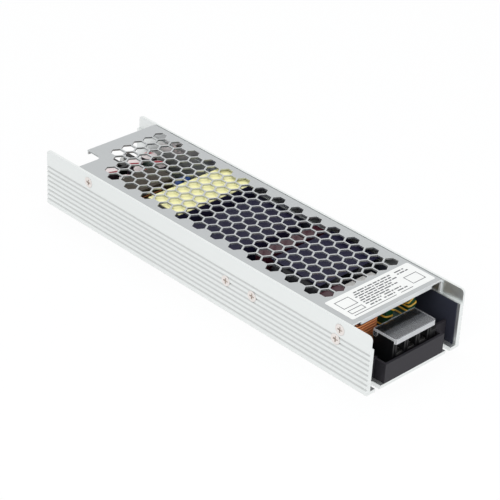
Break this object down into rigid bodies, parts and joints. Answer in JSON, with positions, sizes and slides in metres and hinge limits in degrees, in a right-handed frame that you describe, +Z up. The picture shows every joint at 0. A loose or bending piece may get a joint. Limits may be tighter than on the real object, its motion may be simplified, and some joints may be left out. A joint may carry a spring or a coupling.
{
  "type": "slim power supply",
  "caption": "Slim enclosed power supply in an aluminium channel with a hexagon-perforated cover and clear-covered mains terminals.",
  "frame": {"origin": "centre of the underside of the case", "axes": "+X along the case towards the mains terminals, +Z up from the mounting face, +Y away from the long wall that faces the viewer"},
  "size_m": [0.22, 0.062, 0.031],
  "materials": {
    "case_aluminium": "satin",
    "cover_sheet": "brushed",
    "label_film": "matte",
    "screw_nickel": "satin",
    "film_black": "matte",
    "moulding_black": "matte",
    "plated_steel": "satin",
    "clear_plastic": "gloss",
    "board_laminate": "satin",
    "nylon_white": "matte",
    "ferrite": "matte",
    "tape_yellow": "satin",
    "copper_wire": "satin",
    "wire_yellow": "gloss",
    "toroid_green": "satin",
    "capacitor_silver": "satin",
    "capacitor_sleeve": "gloss",
    "capacitor_maroon": "gloss",
    "capacitor_blue": "gloss",
    "chip_black": "matte",
    "relay_cream": "matte",
    "fuse_ceramic": "satin",
    "thermistor_black": "matte",
    "lamp_green": "gloss",
    "trimmer_blue": "matte",
    "rotor_white": "matte",
    "tray_black": "matte"
  },
  "bodies": {
    "case": {"ac_clamp_plates": "plated_steel", "ac_terminal_body": "moulding_black", "ac_terminal_screws": "plated_steel", "board_screws": "plated_steel", "board_spacers": "nylon_white", "boost_choke_coil": "copper_wire", "boost_choke_core": "ferrite", "bridge_rectifier": "chip_black", "bulk_capacitors": "capacitor_sleeve", "channel_case": "case_aluminium", "clamp_nuts": "plated_steel", "clamp_screws": "screw_nickel", "control_board": "board_laminate", "control_chips": "chip_black", "cover_screws": "screw_nickel", "daughter_board": "board_laminate", "dc_clamp_plates": "plated_steel", "dc_terminal_body": "moulding_black", "dc_terminal_screws": "plated_steel", "disc_capacitors": "capacitor_blue", "film_capacitors": "capacitor_maroon", "fuse": "fuse_ceramic", "indicator_lamp": "lamp_green", "inrush_relay": "relay_cream", "insulating_liner": "film_black", "line_choke_core": "ferrite", "line_choke_winding": "copper_wire", "main_board": "board_laminate", "output_capacitors": "capacitor_silver", "output_choke_coil": "copper_wire", "output_choke_core": "ferrite", "power_transistors": "chip_black", "rating_label": "label_film", "terminal_tray": "tray_black", "thermistor": "thermistor_black", "top_cover": "cover_sheet", "toroid_base": "chip_black", "toroid_core": "toroid_green", "toroid_winding": "wire_yellow", "transformer_coil": "tape_yellow", "transformer_core": "ferrite", "transformer_tape": "tape_yellow", "trimmer_body": "trimmer_blue", "upper_insulating_sheets": "film_black", "x_capacitor": "capacitor_maroon"},
    "terminal_cover": {"ac_terminal_cover": "clear_plastic"},
    "rotor": {"trimmer_rotor": "rotor_white"}
  },
  "joints": [
    {"name": "terminal_cover_hinge", "type": "hinge", "parent": "case", "child": "terminal_cover", "pos_m": [0.0971, 0, 0.0193], "axis": [0, -1, 0], "range_deg": [0, 65]},
    {"name": "adjustment_turn", "type": "hinge", "parent": "case", "child": "rotor", "pos_m": [-0.0922, -0.0205, 0.0106], "axis": [0, 0, 1], "range_deg": [-130, 130]}
  ]
}
